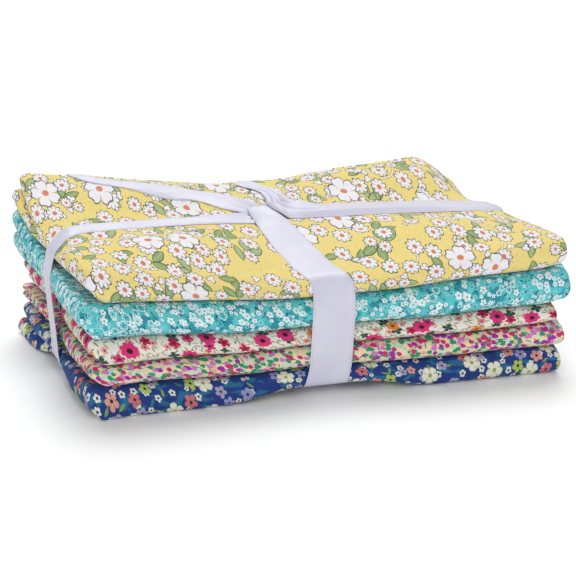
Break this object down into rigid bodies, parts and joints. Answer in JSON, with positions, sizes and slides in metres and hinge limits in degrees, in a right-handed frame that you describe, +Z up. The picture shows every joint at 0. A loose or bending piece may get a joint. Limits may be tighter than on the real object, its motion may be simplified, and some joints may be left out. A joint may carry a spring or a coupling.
{
  "type": "fat quarter bundle",
  "caption": "Stack of folded printed cotton fat quarters tied both ways with a white satin ribbon, for quilting and sewing.",
  "frame": {"origin": "middle of the bundle's outline, on the surface that it stands on", "axes": "+X along the long side, towards the raw ends of the folds; -Y towards the front, where the folded spines show; +Z up"},
  "size_m": [0.2398, 0.1468, 0.0836],
  "materials": {
    "cotton_yellow": "matt plain-weave cotton, pale yellow, printed with white daisies and sage leaves",
    "cotton_teal": "matt plain-weave cotton, teal, printed with small white-outlined blossoms",
    "cotton_cream": "matt plain-weave cotton, cream, printed with pink and crimson flowers",
    "cotton_confetti": "matt plain-weave cotton, light straw, printed with green, raspberry and violet dabs",
    "cotton_navy": "matt plain-weave cotton, navy, printed with small pale flowers",
    "satin_ribbon": "smooth white satin with a soft sheen and a faint selvedge"
  },
  "bodies": {
    "root": {"fat_quarter_yellow": "cotton_yellow", "fat_quarter_teal": "cotton_teal", "fat_quarter_cream": "cotton_cream", "fat_quarter_confetti": "cotton_confetti", "fat_quarter_navy": "cotton_navy", "ribbon": "satin_ribbon"}
  },
  "joints": []
}
